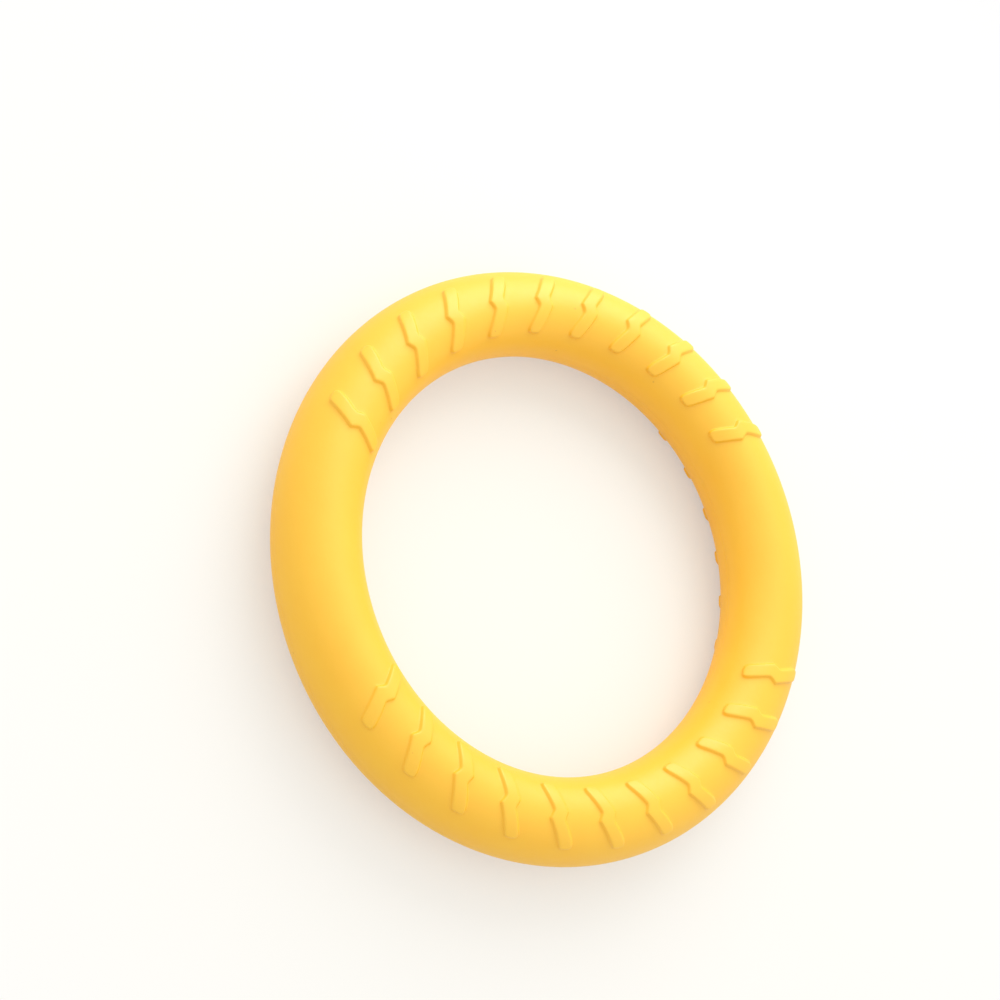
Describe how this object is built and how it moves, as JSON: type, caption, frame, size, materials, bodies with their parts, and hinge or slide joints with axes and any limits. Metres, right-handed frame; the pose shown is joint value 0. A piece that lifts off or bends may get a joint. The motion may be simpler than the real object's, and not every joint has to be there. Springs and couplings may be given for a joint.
{
  "type": "flying ring",
  "caption": "Round foam throwing ring with low stepped grip lugs on both faces, two bonded halves round a plastic hoop.",
  "frame": {"origin": "centre of the ring on the surface that it lies on, under its back face's lugs", "axes": "+Z along the ring's axis, out of its front face; +Y through the middle of the bank that is at the top in the picture"},
  "size_m": [0.28, 0.28, 0.0432],
  "materials": {
    "foam": "matte closed-cell foam with a fine moulded skin",
    "hoop_tube": "natural extruded plastic tube",
    "plug_rod": "dark extruded plastic rod"
  },
  "bodies": {
    "root": {"front_half": "foam", "back_half": "foam", "core_hoop": "hoop_tube", "hoop_plug": "plug_rod"}
  },
  "joints": []
}
